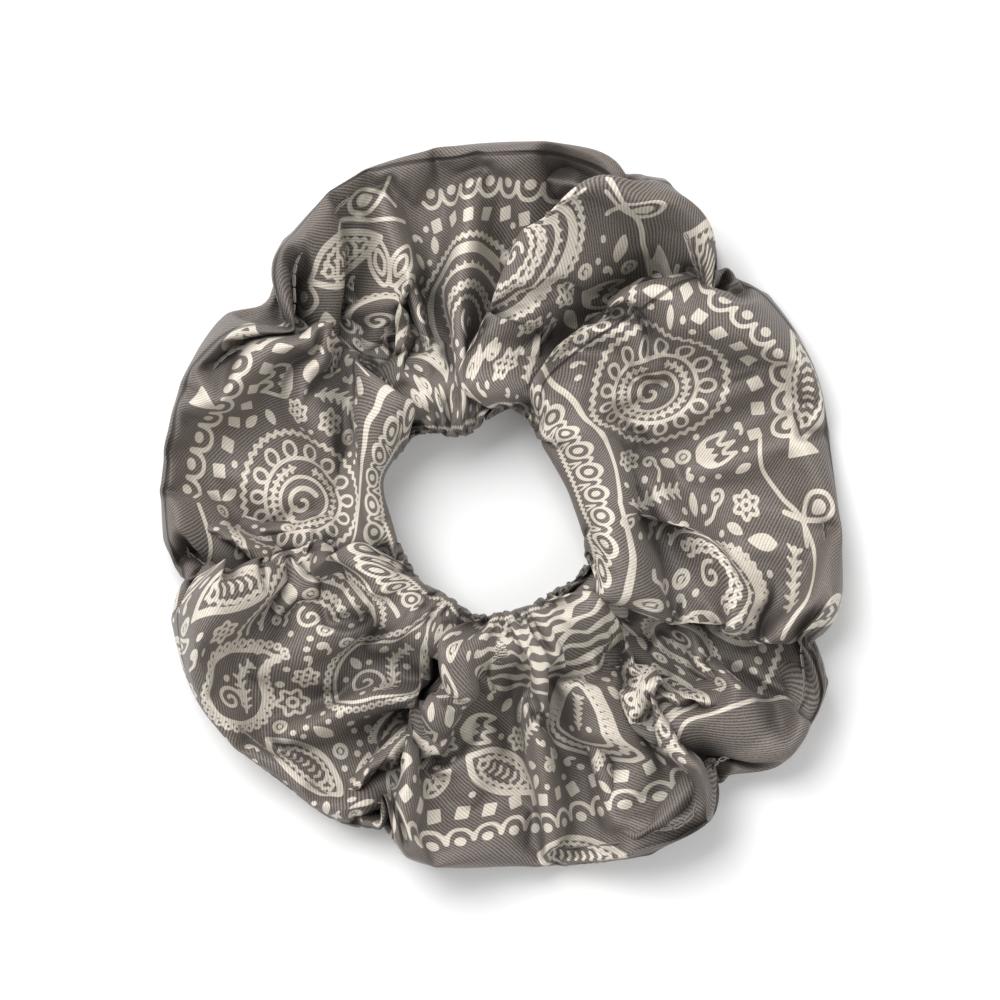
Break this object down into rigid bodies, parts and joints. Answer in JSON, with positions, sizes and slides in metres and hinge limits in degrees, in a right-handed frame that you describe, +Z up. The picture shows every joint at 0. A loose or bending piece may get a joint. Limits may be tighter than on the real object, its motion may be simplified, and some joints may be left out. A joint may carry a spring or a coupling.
{
  "type": "scrunchie",
  "caption": "Large gathered twill scrunchie: a printed fabric tube bunched on a hidden elastic loop, with a central opening for a ponytail.",
  "frame": {"origin": "on the loop's axis, at the middle of the ponytail opening, in the plane the scrunchie rests on", "axes": "+Z up along the loop's axis, out of the opening; +X the way the right half stretches away; +Y completes the frame"},
  "size_m": [0.119, 0.1277, 0.024],
  "materials": {
    "cover": "silky diagonal twill in taupe with a cream screen print",
    "elastic": "knitted elastic, off-white",
    "thread": "spun polyester thread, taupe"
  },
  "bodies": {
    "left_half": {"cover_left": "cover", "elastic_left": "elastic", "long_seam_needle_thread_left": "thread", "long_seam_bobbin_thread_left": "thread"},
    "right_half": {"cover_right": "cover", "elastic_right_under": "elastic", "elastic_right_over": "elastic", "long_seam_needle_thread_right": "thread", "long_seam_bobbin_thread_right": "thread", "elastic_join_needle_thread": "thread", "elastic_join_bobbin_thread": "thread", "closing_seam_thread": "thread"}
  },
  "joints": [
    {"name": "stretch", "type": "slide", "parent": "left_half", "child": "right_half", "axis": [1, 0, 0], "range_m": [0, 0.07], "stiffness_N_per_m": 60}
  ]
}
